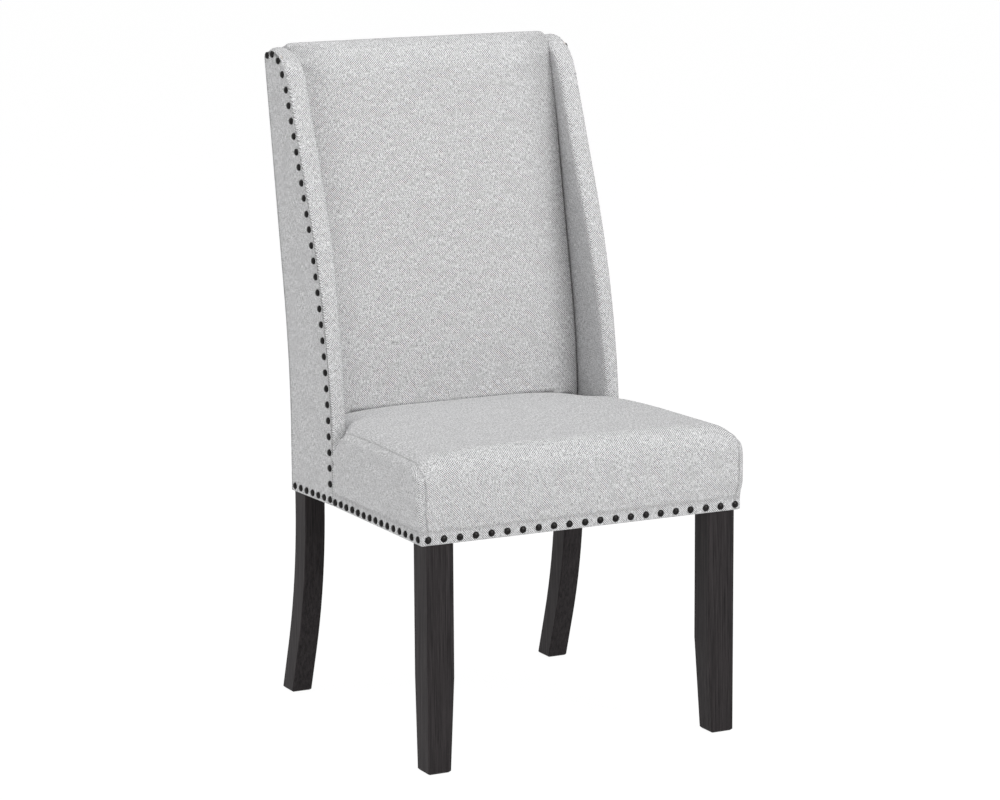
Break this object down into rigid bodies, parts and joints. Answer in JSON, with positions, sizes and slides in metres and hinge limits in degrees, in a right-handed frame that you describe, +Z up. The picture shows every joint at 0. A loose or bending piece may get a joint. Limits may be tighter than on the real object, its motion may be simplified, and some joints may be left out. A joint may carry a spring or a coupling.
{
  "type": "wingback dining chair",
  "caption": "Upholstered wingback side chair with square tapered front legs, sabre rear legs and rows of dome nails along the seat and wings.",
  "frame": {"origin": "on the floor, under the middle of the chair's bounding box", "axes": "+Z up, -Y the way the chair faces, +X to the right as seen from the front"},
  "size_m": [0.5464, 0.5914, 1.034],
  "materials": {
    "leg_wood": "satin dark stain over straight grain",
    "frame_wood": "sawn, unfinished",
    "bolt_steel": "zinc plated",
    "glide_plastic": "matt",
    "webbing": "woven strap",
    "foam": "open cell foam",
    "upholstery": "fine heathered weave, light grey",
    "lining": "thin non-woven cloth",
    "nail_metal": "black, satin"
  },
  "bodies": {
    "root": {"front_leg_left": "leg_wood", "front_leg_right": "leg_wood", "rear_post_left": "leg_wood", "rear_post_right": "leg_wood", "frame_dowels": "frame_wood", "front_rail": "frame_wood", "rear_rail": "frame_wood", "side_rail_left": "frame_wood", "side_rail_right": "frame_wood", "back_top_rail": "frame_wood", "back_lower_rail": "frame_wood", "wing_board_left": "frame_wood", "wing_board_right": "frame_wood", "front_corner_block_left": "frame_wood", "front_corner_block_right": "frame_wood", "rear_corner_block_left": "frame_wood", "rear_corner_block_right": "frame_wood", "leg_bolts": "bolt_steel", "leg_bolt_washers": "bolt_steel", "leg_bolt_nuts": "bolt_steel", "leg_glides": "glide_plastic", "seat_webbing_lengthwise": "webbing", "seat_webbing_crosswise": "webbing", "back_webbing": "webbing", "wing_foam_left": "foam", "wing_foam_right": "foam", "back_foam": "foam", "seat_foam": "foam", "outside_panel_left": "upholstery", "outside_panel_right": "upholstery", "wing_cover_left": "upholstery", "wing_cover_right": "upholstery", "inside_back_cover": "upholstery", "outside_back_cover": "upholstery", "seat_cover": "upholstery", "dust_cover": "lining", "seat_front_nails": "nail_metal", "seat_side_nails_left": "nail_metal", "seat_side_nails_right": "nail_metal", "wing_nails_left": "nail_metal", "wing_nails_right": "nail_metal"}
  },
  "joints": []
}
